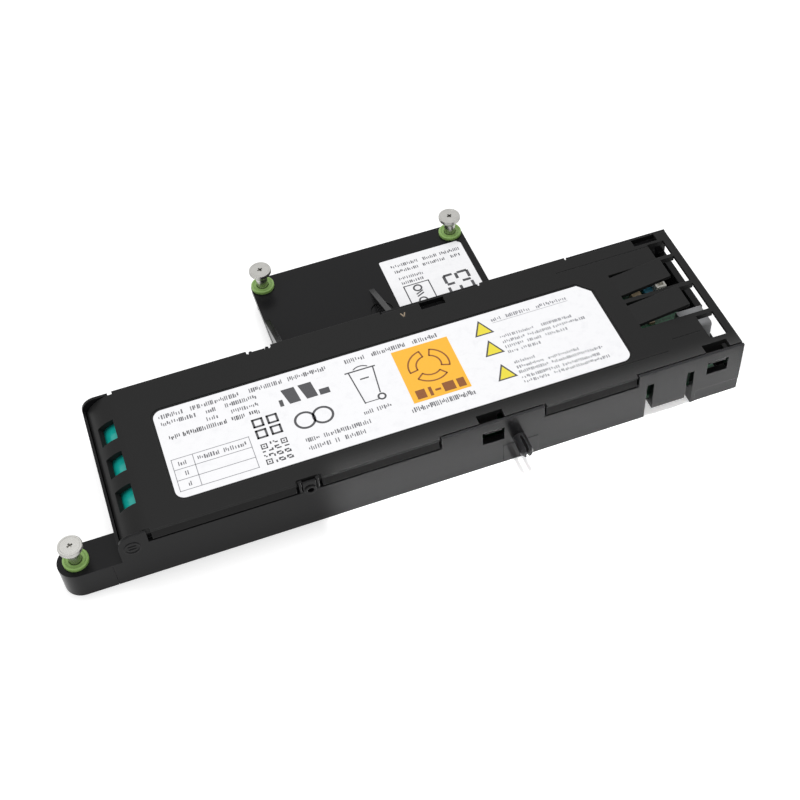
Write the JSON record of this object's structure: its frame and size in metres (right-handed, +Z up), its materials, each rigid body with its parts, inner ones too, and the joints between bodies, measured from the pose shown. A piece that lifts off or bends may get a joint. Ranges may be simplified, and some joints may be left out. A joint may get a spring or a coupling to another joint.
{
  "type": "raid battery module",
  "caption": "Flat battery module for a storage controller: AA-size cells and a charging board in a snap-together case with an ear, a wing and captive thumbscrews.",
  "frame": {"origin": "centre of the body's base face, between its long walls and between its ends", "axes": "+X along the body from the ear end to the connector end, +Y to the wing, +Z up out of the base"},
  "size_m": [0.2144, 0.1021, 0.0233],
  "materials": {
    "case_plastic": "fine satin",
    "cover_plastic": "fine satin",
    "cell_sleeve": "smooth sleeve",
    "nickel_strip": "plated",
    "red_wire": "insulation",
    "black_wire": "insulation",
    "board": "solder mask",
    "grey_housing": "moulded",
    "ferrite": "matt",
    "chip_body": "matt",
    "can_metal": "drawn",
    "chip_ceramic": "fired",
    "white_housing": "moulded",
    "fuse_body": "coated",
    "screw_steel": "plated",
    "label_film": "coated film",
    "nickel_plate": "bright plated",
    "green_ring": "moulded",
    "spring_steel": "drawn"
  },
  "bodies": {
    "module": {"bottom_case": "case_plastic", "top_cover": "cover_plastic", "cell_1": "cell_sleeve", "cell_2": "cell_sleeve", "cell_3": "cell_sleeve", "cell_4": "cell_sleeve", "cell_5": "cell_sleeve", "cell_6": "cell_sleeve", "cell_7": "cell_sleeve", "link_1": "nickel_strip", "link_2": "nickel_strip", "link_3": "nickel_strip", "link_4": "nickel_strip", "link_5": "nickel_strip", "link_6": "nickel_strip", "positive_lead": "red_wire", "negative_lead": "black_wire", "circuit_board": "board", "board_connector": "grey_housing", "storage_coil": "ferrite", "charger_chip": "chip_body", "gauge_chip": "chip_body", "tall_capacitor": "can_metal", "chip_capacitors": "chip_ceramic", "white_header": "white_housing", "board_fuse": "fuse_body", "board_screws": "screw_steel", "main_label": "label_film", "wing_label": "label_film", "screw_ring_1": "green_ring", "screw_ring_2": "green_ring", "screw_ring_3": "green_ring", "screw_spring_1": "spring_steel", "screw_spring_2": "spring_steel", "screw_spring_3": "spring_steel"},
    "screw_1": {"thumbscrew_1": "nickel_plate", "screw_clip_1": "spring_steel"},
    "screw_2": {"thumbscrew_2": "nickel_plate", "screw_clip_2": "spring_steel"},
    "screw_3": {"thumbscrew_3": "nickel_plate", "screw_clip_3": "spring_steel"}
  },
  "joints": [
    {"name": "screw_1_slide", "type": "slide", "parent": "module", "child": "screw_1", "axis": [0, 0, 1], "range_m": [-0.0043, 0], "stiffness_N_per_m": 300, "springref_m": 0.003, "deforming": ["screw_spring_1"]},
    {"name": "screw_2_slide", "type": "slide", "parent": "module", "child": "screw_2", "axis": [0, 0, 1], "range_m": [-0.0043, 0], "stiffness_N_per_m": 300, "springref_m": 0.003, "deforming": ["screw_spring_2"]},
    {"name": "screw_3_slide", "type": "slide", "parent": "module", "child": "screw_3", "axis": [0, 0, 1], "range_m": [-0.0043, 0], "stiffness_N_per_m": 300, "springref_m": 0.003, "deforming": ["screw_spring_3"]}
  ]
}
